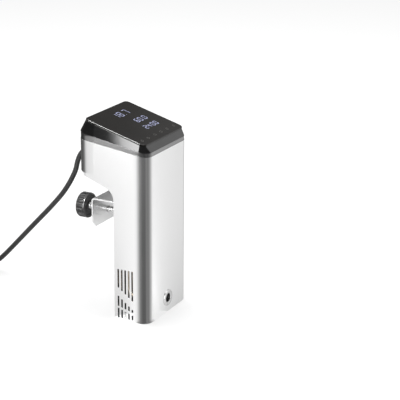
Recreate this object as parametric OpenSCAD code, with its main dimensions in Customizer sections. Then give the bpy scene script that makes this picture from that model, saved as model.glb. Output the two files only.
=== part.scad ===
// Sous vide circulator: a steel column with an overhanging head, a rim clamp and a mains lead.
// Origin: centre of the flat underside. +Z up, the outlet faces -Y, the head overhangs towards +Y.

/* [Body] */
// Width of the body, side to side
body_w = 126; // [120:1:132]
// Depth of the column, front to back
column_d = 57.4; // [55:0.2:60]
// Depth of the head, front to back
head_d = 119; // [116:0.2:121]
// Thickness of the steel sheet
wall = 1.2; // [1:0.1:1.5]
// Radius of the front upright corners
front_r = 14.5; // [12:0.5:16]
// Radius of the head's back upright corners
back_r = 15; // [12:0.5:16]
// Height of the steel at the front
steel_h = 262.5; // [258:0.5:266]
// Slope of the steel's top edge, in degrees
steel_slope = 7.5; // [7:0.1:8]

/* [Bezel and glass] */
// Height of the trim ring at the front
trim_h = 6; // [5:0.5:7]
// Slope of the bezel's lower edge, in degrees
bezel_slope = 9.5; // [9:0.1:10]
// Slope of the glass, in degrees
glass_slope = 15.5; // [15:0.1:16]
// Width of the glass
glass_w = 122; // [118:1:123]
// Length of the glass down its slope
glass_l = 105.4; // [102:0.2:107]
// Thickness of the glass
glass_t = 2.6; // [2:0.1:3]
// Height of the top of the glass at its front edge
glass_h = 281.3; // [280:0.1:283]

/* [Water circuit] */
// Height of the outlet's axis
outlet_z = 23.5; // [22:0.5:26]
// Radius of the outlet bore
outlet_r = 7; // [6:0.5:7.5]
// Distance of the pump's axis from the middle, sideways
pump_x = 15; // [14:0.5:16]
// Height of the underside of the bulkhead over the wet chamber
bulkhead_z = 96; // [94:1:100]

/* [Rim clamp] */
// Width of the bracket
bracket_w = 93; // [86:1:100]
// Height of the bracket's top face
bracket_h = 182; // [180:0.5:184]
// Thickness of the bracket's sheet
bracket_t = 2; // [1.5:0.5:2.5]
// Distance of the bracket's outer face behind the middle of the column
bracket_y = 77; // [76:0.5:80]
// Height of the clamp screw's axis
screw_z = 151; // [148:1:154]
// Radius of the clamp screw
screw_r = 5; // [4:0.5:6]
// Radius of the knob
knob_r = 20; // [18:0.5:22]
// Thickness of the knob
knob_t = 16; // [14:0.5:18]

/* [Mains lead] */
// Diameter of the lead
cord_d = 8; // [7:0.5:8]
// Radius of the coil at its widest turn
coil_r = 52; // [50:1:54]

/* [Hidden] */
$fn = 48;
hull_fn = 32;
eps = 0.01;
fit = 0.1;            // gap round a plate that slips into the shell
running = 0.05;       // radial clearance of a turning or sliding fit
front_y = -column_d / 2;
back_y = column_d / 2;
head_y = front_y + head_d;
half_w = body_w / 2;

// The back of the head: its underside slopes up from the column, with a round at each end.
slope_a = 20.3;       // slope of the underside, in degrees
throat_r = 20;        // round between the column's back and the underside
throat_y = back_y + throat_r;
throat_z = 189.1;
heel_r = 9;           // round between the underside and the head's back
heel_y = head_y - heel_r;
heel_z = 232.05;

// Slots in each side of the wet chamber: five columns of three, [lower end, upper end].
slot_w = 2.8;
slot_pitch = 6;
slot_first_y = 21.7;
slot_rows = [
    [[53, 83], [48, 83], [43, 83], [39, 83], [35, 83]],
    [[23, 39.4], [21.8, 35], [19.2, 30], [18.2, 24.7], [16.2, 21]],
    [[4, 19.8], [4, 17.3], [4, 15.2], [4, 13.8], [4, 11.6]]
];

glass_front_y = -23.4;  // the glass's front edge
glass_r = 8;            // corners of the glass
gasket_in = 3;          // distance of the gasket from the glass's edge
gasket_w = 2;
module_z = -10.4;     // back of the display module, under the glass

// Steel fasteners and the holes that they pass through.
base_hole_x = [-48, 48];
base_hole_y = [-15, 18];
bracket_hole_x = [-30, 30];
bracket_hole_z = [130, 166];

// Wet chamber.
nozzle_r = 10;        // neck of the outlet
nozzle_out = 1.5;     // how far the outlet's flange stands out
bulkhead_t = 4;
heater_x = [-50, -38, -26];
heater_bend_r = 11;
heater_r = 3.25;
probe_at = [-10, -18];
probe_r = 2;
probe_z = 58;
pin_x = 50;
pin_y = [-8, 8];
pin_r = 1.5;
pump_y = 1;
pump_r = 24;
shaft_r = 2.5;

// Motor, standing on the bulkhead.
mount_t = 4;
motor_z = bulkhead_z + bulkhead_t + mount_t;
motor_h = 59;
motor_r = 19;
can_in_r = 17.4;
core_z = motor_z + 12;   // the stator and the rotor's core
core_h = 34;
core_r = 12;
bearing_r = 8;
bearing_t = 5;
board_x = -30;

// Rim clamp.
bend_r = 5;           // outside radius of the bracket's bends
inner_leg_z = 118;    // lower edge of the leg on the column
outer_leg_z = 134;    // lower edge of the leg that carries the screw
clamp_rest_y = 50;    // face of the pressure pad as drawn
plate_r = 13;
pad_t = 2;
neck_r = 3;           // turned-down end of the clamp screw
neck_end = 11.3;      // where it ends, behind the pad's face
knob_y = 108;         // inner face of the knob as drawn
insert_r = 16.5;      // recess in the knob's inner face
insert_depth = 3;
cap_r = 9;
flutes = 16;

// Mains lead.
gland_a = 35;         // the strain relief points this far below level, in degrees
gland_r = 8;
gland_flange_r = 11;
gland_flange_t = 3;
relief_l = 30;
coil_c = [-40, 346];
coil_w = 3 * cord_d;
tie_t = 1.2;
plug_at = [-101, 296, 19];

// The lead's route from the strain relief to the coil, and from the coil to the plug.
lead_route = [
    [0, 115, 241], [0, 123, 233.5], [0, 129, 222], [0, 134, 205], [0, 141, 190.5], [0, 150, 175.5],
    [0.5, 161, 160.5], [1, 174, 145.5], [2, 188, 130.5], [3, 203, 115], [4, 219, 98.5], [5.5, 235, 82],
    [7, 251, 65.5], [8.5, 267, 49], [10, 282, 34], [11, 296, 21.5], [11.5, 311, 11.5], [12, 327, 5.5],
    [12, 346, 4]
];
tail_route = [
    [-95, 366, 4], [-99, 352, 4.5], [-100.5, 336, 7.5], [-101, 321, 13], [-101, 308, 17.5], plug_at
];
gland_z = lead_route[0][2] + relief_l * sin(gland_a);

function unit(v) = v / norm(v);
function heading(pts, i) = unit(pts[min(i + 1, len(pts) - 1)] - pts[max(i - 1, 0)]);
function ring(centre, dir, r, sides) =
    let (u = unit(cross(dir, [1, 0, 0])), v = cross(dir, u))
    [for (k = [0 : sides - 1]) centre + r * (cos(360 * k / sides) * u + sin(360 * k / sides) * v)];

// A round tube whose rings stand on the points of a route.
module tube(pts, r, first, sides = 10) {
    n = len(pts);
    points = [for (i = [0 : n - 1]) each ring(pts[i], i == 0 ? first : heading(pts, i), r, sides)];
    walls = [for (i = [0 : n - 2], k = [0 : sides - 1])
        [i * sides + k, i * sides + (k + 1) % sides, (i + 1) * sides + (k + 1) % sides, (i + 1) * sides + k]];
    caps = [[for (k = [sides - 1 : -1 : 0]) k], [for (k = [0 : sides - 1]) (n - 1) * sides + k]];
    polyhedron(points, concat(walls, caps), convexity = 6);
}

// Outline seen from above, drawn in from the outer faces by inset.
module plan(inset) {
    x = half_w - inset;
    y0 = front_y + inset;
    y1 = head_y - inset;
    rf = front_r - inset;
    rb = back_r - inset;
    polygon([
        [-x + rf, y0], [x - rf, y0], [x, y0 + rf], [x, y1 - rb],
        [x - rb, y1], [-x + rb, y1], [-x, y1 - rb], [-x, y0 + rf]
    ]);
    for (s = [-1, 1]) {
        translate([s * (x - rf), y0 + rf]) circle(rf);
        translate([s * (x - rb), y1 - rb]) circle(rb);
    }
}

// Outline of the column alone, seen from above.
module column_plan(inset) {
    intersection() {
        plan(inset);
        translate([-half_w, front_y]) square([body_w, column_d - inset]);
    }
}

function steel_top(y) = steel_h + (y - front_y) * tan(steel_slope);
function trim_top(y) = steel_h + trim_h + (y - front_y) * tan(bezel_slope);

// Side outline of the steel, in the YZ plane, drawn in from its back faces by inset.
module side(inset) {
    r1 = throat_r + inset;
    r2 = heel_r - inset;
    difference() {
        union() {
            polygon([
                [front_y, 0], [back_y - inset, 0], [back_y - inset, throat_z],
                [throat_y - r1 * sin(slope_a), throat_z + r1 * cos(slope_a)],
                [heel_y + r2 * sin(slope_a), heel_z - r2 * cos(slope_a)],
                [head_y - inset, heel_z], [head_y - inset, steel_top(head_y - inset)],
                [front_y, steel_top(front_y)]
            ]);
            translate([heel_y, heel_z]) circle(r2);
        }
        translate([throat_y, throat_z]) circle(r1);
    }
}

module along_x(w) {
    translate([-w / 2, 0, 0]) rotate([90, 0, 90]) linear_extrude(w) children();
}

// A cylinder along +Y from y0 to y1, at [x, z].
module rod_y(x, z, y0, y1, r, r2 = -1) {
    translate([x, y0, z]) rotate([-90, 0, 0]) cylinder(h = y1 - y0, r1 = r, r2 = r2 < 0 ? r : r2);
}

// A cylinder along +Z from z0 to z1, at [x, y].
module rod_z(x, y, z0, z1, r) {
    translate([x, y, z0]) cylinder(h = z1 - z0, r = r);
}

// Puts its children on the glass's sloping plane: origin at its front edge, +Z out of the glass.
module on_glass() {
    translate([0, glass_front_y, glass_h]) rotate([glass_slope, 0, 0]) children();
}

module glass_outline(inset) {
    r = glass_r;
    x = glass_w / 2 - inset;
    translate([-x, inset + r]) square([2 * x, glass_l - 2 * inset - 2 * r]);
    translate([-x + r, inset]) square([2 * x - 2 * r, glass_l - 2 * inset]);
    for (s = [-1, 1], y = [inset + r, glass_l - inset - r]) translate([s * (x - r), y]) circle(r);
}

module sloped(slope, z) {
    rise = tan(slope);
    multmatrix([[1, 0, 0, 0], [0, 1, 0, 0], [0, rise, 1, z - front_y * rise], [0, 0, 0, 1]]) children();
}

// ---- Casing ----

module front_shell() color([0.83, 0.83, 0.84]) difference() {
    intersection() {
        along_x(body_w) side(0);
        linear_extrude(300) difference() {
            plan(0);
            plan(wall);
        }
    }
    for (row = slot_rows, i = [0 : 4])
        translate([-half_w - 1, slot_first_y - i * slot_pitch - slot_w / 2, row[i][0]])
            cube([body_w + 2, slot_w, row[i][1] - row[i][0]]);
    rod_y(0, outlet_z, front_y - 1, front_y + wall + 1, nozzle_r);
    rod_y(0, gland_z, head_y - wall - 1, head_y + 1, gland_r);
}

module rear_panel() color([0.8, 0.8, 0.81]) difference() {
    intersection() {
        linear_extrude(300) plan(wall + fit);
        along_x(body_w) difference() {
            side(0);
            side(wall);
        }
        translate([-half_w, back_y - 2, 0]) cube([body_w, head_d, steel_h - 25]);
    }
    for (x = bracket_hole_x, z = bracket_hole_z) rod_y(x, z, back_y - 3, back_y + 1, 2);
}

module base_plate() color([0.8, 0.8, 0.81]) difference() {
    linear_extrude(2.5) column_plan(wall + fit);
    for (x = base_hole_x, y = base_hole_y) rod_z(x, y, -1, 4, 2.6);
}

module base_screws() color([0.7, 0.7, 0.72]) for (x = base_hole_x, y = base_hole_y) difference() {
    union() {
        rod_z(x, y, 0.4, 2.5, 2.5);
        rod_z(x, y, 2.5, 9, 1.6);
    }
    rod_z(x, y, 0, 1.2, 1.1);
}

module trim_ring() color([0.62, 0.62, 0.63]) intersection() {
    linear_extrude(320) difference() {
        plan(0.4);
        plan(6);
    }
    along_x(body_w) polygon([
        [front_y, steel_top(front_y)], [head_y, steel_top(head_y)],
        [head_y, trim_top(head_y)], [front_y, trim_top(front_y)]
    ]);
}

module bezel() color([0.04, 0.04, 0.045]) {
    difference() {
        hull() {
            sloped(bezel_slope, steel_h + trim_h) linear_extrude(eps) plan(0, $fn = hull_fn);
            on_glass() translate([0, 0, -glass_t - eps]) linear_extrude(eps) glass_outline(0, $fn = hull_fn);
        }
        hull() {
            sloped(bezel_slope, steel_h + trim_h - 1) linear_extrude(eps) plan(3.5, $fn = hull_fn);
            on_glass() translate([0, 0, -glass_t - 2.6]) linear_extrude(eps) glass_outline(4, $fn = hull_fn);
        }
        on_glass() translate([-50, 8, -glass_t - 4]) cube([100, glass_l - 16, 6]);
        on_glass() translate([0, 0, -glass_t - 1]) linear_extrude(2) difference() {
            glass_outline(gasket_in);
            glass_outline(gasket_in + gasket_w);
        }
    }
    on_glass() for (x = [-52, 52], y = [20, glass_l - 20]) rod_z(x, y, module_z, -glass_t - 2.4, 1.8);
}

module glass_gasket() color([0.1, 0.1, 0.1]) on_glass() translate([0, 0, -glass_t - 1]) linear_extrude(1)
    difference() {
        glass_outline(gasket_in);
        glass_outline(gasket_in + gasket_w);
    }

module display_glass() color([0.13, 0.13, 0.12]) on_glass() translate([0, 0, -glass_t])
    linear_extrude(glass_t) glass_outline(0);

// ---- Electronics ----

module touch_strip() color([0.75, 0.6, 0.25]) on_glass() translate([-49, 8.5, -glass_t - 0.8])
    cube([98, 5, 0.8]);

module display_module() color([0.2, 0.2, 0.22]) on_glass() translate([-36, 15, module_z]) cube([72, 66, 7.2]);

module control_board() color([0.05, 0.35, 0.18]) on_glass() translate([-54, 15, -12])
    cube([108, glass_l - 30, 1.6]);

module power_board() color([0.05, 0.35, 0.18]) translate([board_x, -22, 106]) cube([1.6, 44, 108]);

module board_parts() color([0.25, 0.25, 0.28]) {
    for (y = [-10, 10]) translate([board_x - 24, y, 190]) rotate([0, 90, 0]) cylinder(h = 24, r = 8);
    translate([board_x - 18, -12, 150]) cube([18, 24, 20]);
    difference() {
        translate([board_x - 25, -20, 112]) cube([25, 40, 28]);
        for (i = [0 : 5]) translate([board_x - 26, -16 + i * 6, 111]) cube([19, 3, 30]);
    }
}

// ---- Wet chamber ----

module bulkhead() color([0.15, 0.15, 0.16]) difference() {
    linear_extrude(bulkhead_z + bulkhead_t) column_plan(4);
    translate([-half_w, front_y - 1, -1]) cube([body_w, column_d + 2, bulkhead_z + 1]);
    rod_z(pump_x, pump_y, bulkhead_z - 1, bulkhead_z + 5, 7);
    for (x = heater_x, s = [-1, 1]) rod_z(x, s * heater_bend_r, bulkhead_z - 1, bulkhead_z + 5, heater_r);
    rod_z(probe_at[0], probe_at[1], bulkhead_z - 1, bulkhead_z + 5, probe_r);
    for (y = pin_y) rod_z(pin_x, y, bulkhead_z - 1, bulkhead_z + 5, pin_r);
}

module bulkhead_seal() color([0.3, 0.1, 0.08]) translate([0, 0, bulkhead_z]) linear_extrude(bulkhead_t)
    difference() {
        column_plan(wall + fit);
        column_plan(4);
    }

module shaft_seal() color([0.1, 0.1, 0.1]) difference() {
    rod_z(pump_x, pump_y, bulkhead_z, bulkhead_z + bulkhead_t, 7);
    rod_z(pump_x, pump_y, bulkhead_z - 1, bulkhead_z + 5, shaft_r + running);
}

module heater_element() color([0.72, 0.7, 0.68]) for (x = heater_x) {
    for (s = [-1, 1]) rod_z(x, s * heater_bend_r, 50, bulkhead_z + 10, heater_r);
    translate([x, 0, 50]) rotate([0, 90, 0]) rotate([0, 0, -90]) rotate_extrude(angle = 180)
        translate([heater_bend_r, 0]) circle(heater_r);
}

module temperature_probe() color([0.72, 0.72, 0.74]) {
    rod_z(probe_at[0], probe_at[1], probe_z, bulkhead_z + 10, probe_r);
    translate([probe_at[0], probe_at[1], probe_z]) sphere(probe_r);
}

module level_pins() color([0.75, 0.75, 0.76]) for (y = pin_y)
    rod_z(pin_x, y, 66, bulkhead_z + 8, pin_r);

module pump_housing() color([0.12, 0.12, 0.13]) difference() {
    union() {
        rod_z(pump_x, pump_y, 10, 36, pump_r);
        rod_y(0, outlet_z, front_y + 5, pump_y, nozzle_r);
        rod_z(pump_x, pump_y, 2.5, 10, 12);
    }
    rod_z(pump_x, pump_y, 13, 37, 20.5);
    rod_y(0, outlet_z, front_y + 4, pump_y, outlet_r + 0.5);
}

module pump_cover() color([0.16, 0.16, 0.17]) difference() {
    rod_z(pump_x, pump_y, 36, 39, pump_r);
    rod_z(pump_x, pump_y, 35, 40, 9);
}

module outlet_nozzle() color([0.75, 0.75, 0.76]) difference() {
    union() {
        rod_y(0, outlet_z, front_y - nozzle_out, front_y, nozzle_r + 3);
        rod_y(0, outlet_z, front_y, front_y + 5, nozzle_r);
    }
    rod_y(0, outlet_z, front_y - 2, front_y + 6, outlet_r);
}

// ---- Motor ----

module motor_mount() color([0.6, 0.6, 0.62]) difference() {
    rod_z(pump_x, pump_y, motor_z - mount_t, motor_z, motor_r + 3);
    rod_z(pump_x, pump_y, motor_z - mount_t - 1, motor_z + 1, bearing_r + 1);
}

module motor_can() color([0.5, 0.5, 0.52]) difference() {
    rod_z(pump_x, pump_y, motor_z, motor_z + motor_h, motor_r);
    rod_z(pump_x, pump_y, motor_z - 1, motor_z + motor_h + 1, bearing_r);
    rod_z(pump_x, pump_y, motor_z + bearing_t, motor_z + motor_h - bearing_t, can_in_r);
}

module motor_stator() color([0.65, 0.35, 0.15]) difference() {
    rod_z(pump_x, pump_y, core_z, core_z + core_h, can_in_r);
    rod_z(pump_x, pump_y, core_z - 1, core_z + core_h + 1, core_r + 0.6);
}

module bearing(z) difference() {
    rod_z(pump_x, pump_y, z, z + bearing_t, bearing_r);
    rod_z(pump_x, pump_y, z - 1, z + bearing_t + 1, shaft_r + running);
}

module lower_bearing() color([0.7, 0.7, 0.72]) bearing(motor_z);
module upper_bearing() color([0.7, 0.7, 0.72]) bearing(motor_z + motor_h - bearing_t);

// ---- Rotor: turns about the pump's upright axis ----

module rotor_shaft() color([0.78, 0.78, 0.8]) rod_z(pump_x, pump_y, 18, 182, shaft_r);

module vaned_wheel(z, hub_r, tip_r, h, vanes) translate([pump_x, pump_y, z]) difference() {
    union() {
        cylinder(h = 1.6, r = tip_r);
        cylinder(h = h, r = hub_r);
        for (k = [0 : vanes - 1]) rotate([0, 0, k * 360 / vanes]) translate([hub_r - 1, -0.8, 0])
            cube([tip_r - hub_r, 1.6, h - 1]);
    }
    translate([0, 0, -1]) cylinder(h = h + 2, r = shaft_r);
}

module impeller() color([0.85, 0.85, 0.83]) vaned_wheel(18, 5, 18, 12, 6);
module cooling_fan() color([0.1, 0.1, 0.11]) vaned_wheel(170, 6, 17, 9, 8);

module motor_rotor() color([0.35, 0.35, 0.37]) difference() {
    rod_z(pump_x, pump_y, core_z, core_z + core_h, core_r);
    rod_z(pump_x, pump_y, core_z - 1, core_z + core_h + 1, shaft_r);
}

// ---- Rim clamp ----

module bend(y, z, a) translate([y, z]) rotate(a) difference() {
    intersection() {
        circle(bend_r);
        square(bend_r);
    }
    circle(bend_r - bracket_t);
}

module bracket() color([0.8, 0.8, 0.81]) difference() {
    along_x(bracket_w) {
        translate([back_y, inner_leg_z]) square([bracket_t, bracket_h - bend_r - inner_leg_z]);
        bend(back_y + bend_r, bracket_h - bend_r, 90);
        translate([back_y + bend_r, bracket_h - bracket_t])
            square([bracket_y - back_y - 2 * bend_r, bracket_t]);
        bend(bracket_y - bend_r, bracket_h - bend_r, 0);
        translate([bracket_y - bracket_t, outer_leg_z]) square([bracket_t, bracket_h - bend_r - outer_leg_z]);
    }
    for (x = bracket_hole_x, z = bracket_hole_z) rod_y(x, z, back_y - 1, back_y + bracket_t + 1, 2);
    rod_y(0, screw_z, bracket_y - bracket_t - 1, bracket_y + 1, screw_r + 1);
    for (s = [-1, 1]) translate([s * bracket_w / 2, bracket_y, outer_leg_z]) rotate([0, s * 45, 0])
        cube([14, 10, 60], center = true);
}

module bracket_screws() color([0.7, 0.7, 0.72]) for (x = bracket_hole_x, z = bracket_hole_z) difference() {
    union() {
        rod_y(x, z, back_y - 6, back_y + bracket_t, 2);
        rod_y(x, z, back_y + bracket_t, back_y + bracket_t + 2, 3.6, 3);
    }
    rod_y(x, z, back_y + bracket_t + 0.8, back_y + bracket_t + 3, 1.4);
}

module jaw_pad() color([0.12, 0.12, 0.12]) translate([-20, back_y + bracket_t, screw_z - 15])
    cube([40, 3, 30]);

module clamp_nut() color([0.75, 0.75, 0.76]) difference() {
    union() {
        rod_y(0, screw_z, bracket_y, bracket_y + 11, 9);
        rod_y(0, screw_z, bracket_y - bracket_t, bracket_y, screw_r + 1);
    }
    rod_y(0, screw_z, bracket_y - 4, bracket_y + 12, screw_r + running);
}

module pressure_plate() color([0.75, 0.75, 0.76]) difference() {
    union() {
        rod_y(0, screw_z, clamp_rest_y + pad_t, clamp_rest_y + pad_t + 3, plate_r);
        rod_y(0, screw_z, clamp_rest_y + pad_t + 3, clamp_rest_y + 11, neck_r + 4);
    }
    rod_y(0, screw_z, clamp_rest_y + 5.5, clamp_rest_y + 12, neck_r + running);
}

module pressure_pad() color([0.12, 0.12, 0.12])
    rod_y(0, screw_z, clamp_rest_y, clamp_rest_y + pad_t, plate_r);

module clamp_screw() color([0.7, 0.7, 0.72]) {
    rod_y(0, screw_z, clamp_rest_y + 6, clamp_rest_y + neck_end, neck_r);
    rod_y(0, screw_z, clamp_rest_y + neck_end, knob_y + 12, screw_r);
}

module knob() color([0.42, 0.42, 0.44]) difference() {
    rod_y(0, screw_z, knob_y, knob_y + knob_t, knob_r);
    rod_y(0, screw_z, knob_y - 1, knob_y + insert_depth, insert_r);
    rod_y(0, screw_z, knob_y - 1, knob_y + 12, screw_r);
    rod_y(0, screw_z, knob_y + knob_t - 2, knob_y + knob_t + 1, cap_r);
    for (k = [0 : flutes - 1]) translate([0, knob_y + 2.5, screw_z]) rotate([0, k * 360 / flutes, 0])
        translate([knob_r + 1.2, 0, 0]) rotate([-90, 0, 0]) cylinder(h = knob_t, r = 2.6);
}

module knob_insert() color([0.03, 0.03, 0.03]) difference() {
    rod_y(0, screw_z, knob_y + 0.6, knob_y + insert_depth, insert_r);
    rod_y(0, screw_z, knob_y, knob_y + 4, screw_r);
}

module knob_cap() color([0.03, 0.03, 0.03])
    rod_y(0, screw_z, knob_y + knob_t - 2, knob_y + knob_t + 0.5, cap_r);

// ---- Mains lead ----

module cord_gland() color([0.05, 0.05, 0.05]) {
    rod_y(0, gland_z, head_y, head_y + gland_flange_t, gland_flange_r);
    rod_y(0, gland_z, head_y - 6, head_y, gland_r);
}

module gland_nut() color([0.1, 0.1, 0.1]) difference() {
    rod_y(0, gland_z, head_y - wall - 4, head_y - wall, gland_flange_r);
    rod_y(0, gland_z, head_y - wall - 5, head_y, gland_r);
}

module strain_relief() color([0.05, 0.05, 0.05]) difference() {
    translate(lead_route[0]) rotate([90 - gland_a, 0, 0])
        cylinder(h = relief_l, r1 = cord_d / 2 + 1.2, r2 = 8);
    translate([-20, head_y - 20, gland_z - 20]) cube([40, 20 + gland_flange_t, 40]);
}

module cord_lead() color([0.05, 0.05, 0.05]) tube(lead_route, cord_d / 2, [0, cos(gland_a), -sin(gland_a)]);

module cord_tail() color([0.05, 0.05, 0.05]) tube(tail_route, cord_d / 2, [-0.3, -1, 0]);

module cord_coil() color([0.05, 0.05, 0.05]) difference() {
    translate([coil_c[0], coil_c[1], 0]) rotate_extrude() translate([coil_r - 2.5 * cord_d, 0]) {
        translate([0, cord_d / 2]) square([3 * cord_d, 1.5 * cord_d]);
        translate([cord_d / 2, 0]) square([2 * cord_d, cord_d / 2]);
        for (x = [0.5, 2.5]) translate([x * cord_d, cord_d / 2]) circle(cord_d / 2);
    }
    tie_block(coil_w + 2 * tie_t);
}

// A block across the coil's bundle, where the tie goes round it.
module tie_block(w) translate([coil_c[0] - 5, coil_c[1] + coil_r - cord_d - w / 2, 0])
    cube([10, w, 2 * cord_d]);

module cord_tie() color([0.08, 0.08, 0.08]) tie_block(coil_w + 2 * tie_t);

module plug_body() color([0.05, 0.05, 0.05]) {
    rod_y(plug_at[0], plug_at[2], plug_at[1] - 12, plug_at[1], 8, 5.5);
    rod_y(plug_at[0], plug_at[2], plug_at[1] - 34, plug_at[1] - 12, 17, 8);
    rod_y(plug_at[0], plug_at[2], plug_at[1] - 50, plug_at[1] - 34, 19);
}

module plug_pins() color([0.8, 0.75, 0.6]) for (s = [-1, 1])
    rod_y(plug_at[0] + s * 9.5, plug_at[2], plug_at[1] - 69, plug_at[1] - 50, 2.4);

front_shell();
rear_panel();
base_plate();
base_screws();
trim_ring();
bezel();
glass_gasket();
display_glass();
touch_strip();
display_module();
control_board();
power_board();
board_parts();
bulkhead();
bulkhead_seal();
shaft_seal();
motor_mount();
motor_can();
motor_stator();
lower_bearing();
upper_bearing();
heater_element();
temperature_probe();
level_pins();
pump_housing();
pump_cover();
outlet_nozzle();
bracket();
bracket_screws();
jaw_pad();
clamp_nut();
cord_gland();
gland_nut();
strain_relief();
cord_lead();
cord_coil();
cord_tail();
cord_tie();
plug_body();
plug_pins();
rotor_shaft();
impeller();
motor_rotor();
cooling_fan();
pressure_plate();
pressure_pad();
clamp_screw();
knob();
knob_insert();
knob_cap();
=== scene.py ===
# %% [markdown]
# # A sous vide circulator
# A circulator hangs on the rim of a water bath, warms the water and keeps it moving. It is a folded
# steel column with a head that hangs out over the bath's edge, a gloss black bezel with a sloping
# glass panel, a clamp for the rim, and a mains lead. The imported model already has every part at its
# right size and place, so this lesson gives each part its finished shape and its finish.

# %%
import math

import bmesh
import bpy
from mathutils import Matrix, Vector


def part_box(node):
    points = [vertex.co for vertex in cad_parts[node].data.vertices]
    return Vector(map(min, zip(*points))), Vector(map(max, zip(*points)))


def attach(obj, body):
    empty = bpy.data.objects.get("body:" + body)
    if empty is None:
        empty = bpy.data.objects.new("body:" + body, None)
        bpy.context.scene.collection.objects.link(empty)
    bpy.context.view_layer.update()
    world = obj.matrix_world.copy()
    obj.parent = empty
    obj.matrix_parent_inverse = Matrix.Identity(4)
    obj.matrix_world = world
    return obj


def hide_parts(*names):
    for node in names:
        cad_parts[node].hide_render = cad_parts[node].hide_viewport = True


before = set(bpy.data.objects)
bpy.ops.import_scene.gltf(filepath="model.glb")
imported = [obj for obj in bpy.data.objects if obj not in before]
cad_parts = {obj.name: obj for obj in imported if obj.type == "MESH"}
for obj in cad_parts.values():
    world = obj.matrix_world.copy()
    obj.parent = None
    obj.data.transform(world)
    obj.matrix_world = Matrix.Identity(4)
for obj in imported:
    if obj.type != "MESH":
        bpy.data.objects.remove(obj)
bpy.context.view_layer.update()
MM = 0.001

# %% [markdown]
# ## The camera
# A long lens from a step away keeps upright edges nearly parallel, as a catalogue view does. The
# camera looks down a little and stands to the left of the front, so both the side with its slots and
# the front are seen.

# %%
CAMERA_PLACE = Vector((-1.65755, -0.93192, 0.82118))
CAMERA_YAW = math.radians(-62.88)
CAMERA_PITCH = math.radians(18.70)
CAMERA_ROLL = math.radians(0.54)
LENS = 119.39


def camera_axes(yaw, pitch, roll):
    """Right, up and back of a camera that looks down by pitch and leans by roll."""
    back = Vector((math.sin(yaw) * math.cos(pitch), -math.cos(yaw) * math.cos(pitch), math.sin(pitch)))
    level = Vector((math.cos(yaw), math.sin(yaw), 0))
    rise = back.cross(level)
    right = level * math.cos(roll) + rise * math.sin(roll)
    return right, back.cross(right), back


scene = bpy.context.scene


def placed(name, data):
    """A new object in the scene, at the origin."""
    thing = bpy.data.objects.new(name, data)
    scene.collection.objects.link(thing)
    return thing


camera = placed("camera", bpy.data.cameras.new("camera"))
right, up, back = camera_axes(CAMERA_YAW, CAMERA_PITCH, CAMERA_ROLL)
camera.matrix_world = Matrix.Translation(CAMERA_PLACE) @ Matrix((right, up, back)).transposed().to_4x4()
camera.data.lens = LENS
camera.data.sensor_width = 36
camera.data.clip_start = 0.05
scene.camera = camera
print("camera", [round(x, 3) for x in camera.location])

# %% [markdown]
# ## Places and sizes
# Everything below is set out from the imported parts' own boxes, so nothing has to be fitted by eye.
# Lengths are in metres, and short ones are written as so many millimetres.

# %%
shell_low, shell_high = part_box("front_shell")
knob_low, knob_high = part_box("knob")
screw_low, screw_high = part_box("clamp_screw")
coil_low, coil_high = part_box("cord_coil")
plug_low, plug_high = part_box("plug_body")
gland_low, gland_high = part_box("cord_gland")
FRONT = shell_low.y
HEAD_BACK = shell_high.y
SIDE = shell_high.x
SCREW_Z = (screw_low.z + screw_high.z) / 2
GLAND_Z = (gland_low.z + gland_high.z) / 2
print("front", round(FRONT, 4), "back of the head", round(HEAD_BACK, 4), "half width", round(SIDE, 4))

# %% [markdown]
# ## The mains lead's route
# A mains lead is a fixed length of something springy. It leaves the strain relief pointing down,
# hangs in one long curve to the floor, and the rest is wound up as for storage: nearly three turns on
# the floor, a little over one on top of them, and then out over the side to the plug. One open
# spline through listed points gives the curve, and a loop winds the coil.

# %%
CORD_D = 8 * MM
COIL_CENTRE = (coil_low + coil_high) / 2 / MM
LEAD_MM = [
    (0, 115, 241), (0, 123, 233.5), (0, 129, 222), (0, 134, 205), (0, 141, 190.5), (0, 150, 175.5),
    (0.5, 161, 160.5), (1, 174, 145.5), (2, 188, 130.5), (3, 203, 115), (4, 219, 98.5), (5.5, 235, 82),
    (7, 251, 65.5), (8.5, 267, 49), (10, 282, 34), (11, 296, 21.5), (11.5, 311, 11.5), (12, 327, 5.5),
]
TAIL_MM = [(-99, 352, 4.5), (-100.5, 336, 7.5), (-101, 321, 13), (-101, 308, 17.5), (-101, 296, 19)]
# Angle round the coil in degrees, distance from its middle and height, where either changes.
WINDING_MM = [
    (0, 52, 4), (280, 52, 4), (370, 44, 4), (640, 44, 4), (730, 36, 4), (950, 36, 4), (1025, 37, 10.8),
    (1100, 40, 11), (1370, 40, 11), (1440, 48, 11.3), (1530, 48.4, 11.3), (1560, 51, 12.2),
    (1580, 54, 11.5), (1605, 59, 5.5),
]
TIE_ANGLE, TIE_SPREAD, TIE_LIFT = 90, 18, 1.1


def eased(x):
    return x * x * (3 - 2 * x)


def winding(angle):
    """Distance from the coil's middle and height at an angle, easing from one stage to the next."""
    for (a0, r0, z0), (a1, r1, z1) in zip(WINDING_MM, WINDING_MM[1:]):
        if angle <= a1:
            t = eased((angle - a0) / (a1 - a0))
            return r0 + (r1 - r0) * t, z0 + (z1 - z0) * t
    return WINDING_MM[-1][1:]


def coil_points(step=15):
    """The turns, with the bundle lifted a little where the tie passes under it."""
    points = []
    for angle in range(0, WINDING_MM[-1][0] + 1, step):
        r, z = winding(angle)
        from_tie = (angle - TIE_ANGLE + 180) % 360 - 180
        lift = TIE_LIFT * math.exp(-(from_tie / TIE_SPREAD) ** 2)
        a = math.radians(angle)
        points.append((COIL_CENTRE.x + r * math.cos(a), COIL_CENTRE.y + r * math.sin(a), z + lift))
    return points


CORD_ROUTE = [Vector(p) * MM for p in LEAD_MM + coil_points() + TAIL_MM]
print("route points", len(CORD_ROUTE))


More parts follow.
